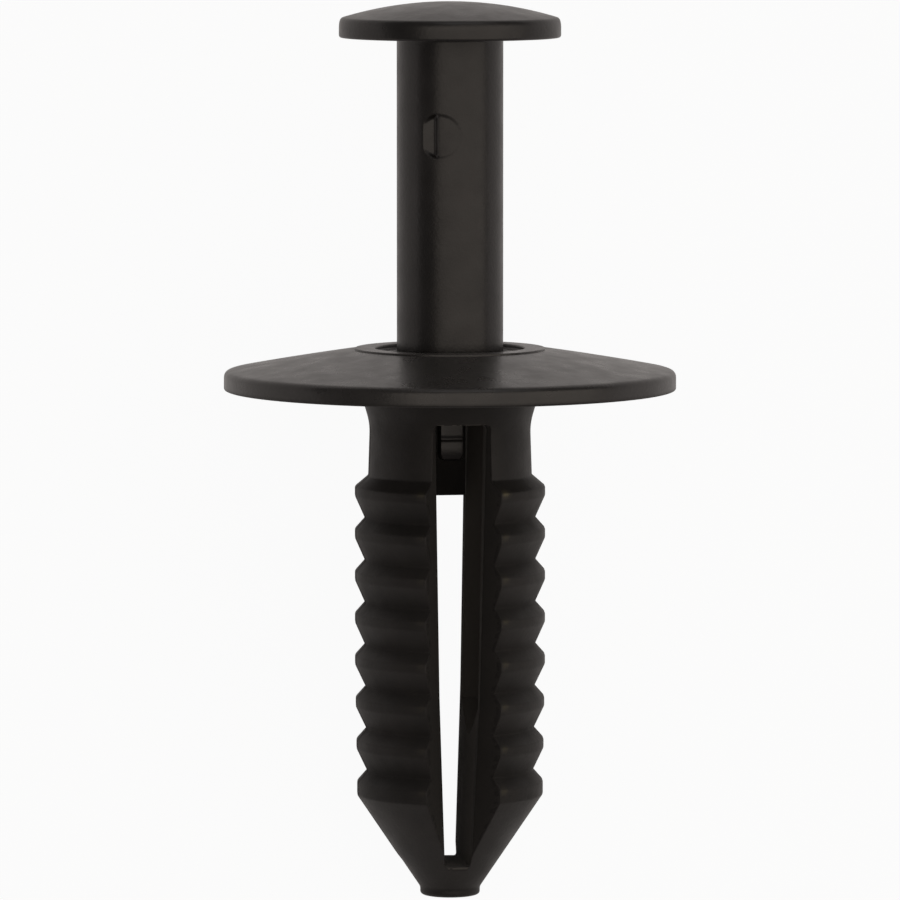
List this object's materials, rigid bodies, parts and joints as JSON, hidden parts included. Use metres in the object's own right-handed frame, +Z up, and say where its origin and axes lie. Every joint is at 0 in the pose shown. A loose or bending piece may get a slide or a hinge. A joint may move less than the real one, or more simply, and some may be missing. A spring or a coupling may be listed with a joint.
{
  "type": "plastic push rivet",
  "caption": "Two-piece black plastic push rivet: a broad flanged sleeve with ribbed split legs and a domed pin that is driven in to lock it in a panel hole.",
  "frame": {"origin": "on the surface that the rivet lies on, below the middle of its bounding box", "axes": "+Y along the lying rivet from its tip to its pin head, +Z up, +X across the slot"},
  "size_m": [0.02, 0.0388, 0.0193],
  "materials": {
    "sleeve_nylon": "black moulded nylon, satin, a little duller on the ribs",
    "pin_nylon": "black moulded nylon, satin"
  },
  "bodies": {
    "sleeve": {"flanged_sleeve": "sleeve_nylon"},
    "pin": {"push_pin": "pin_nylon"}
  },
  "joints": [
    {"name": "pin_push", "type": "slide", "parent": "sleeve", "child": "pin", "axis": [0, -0.9453, -0.3261], "range_m": [0, 0.01363]}
  ]
}
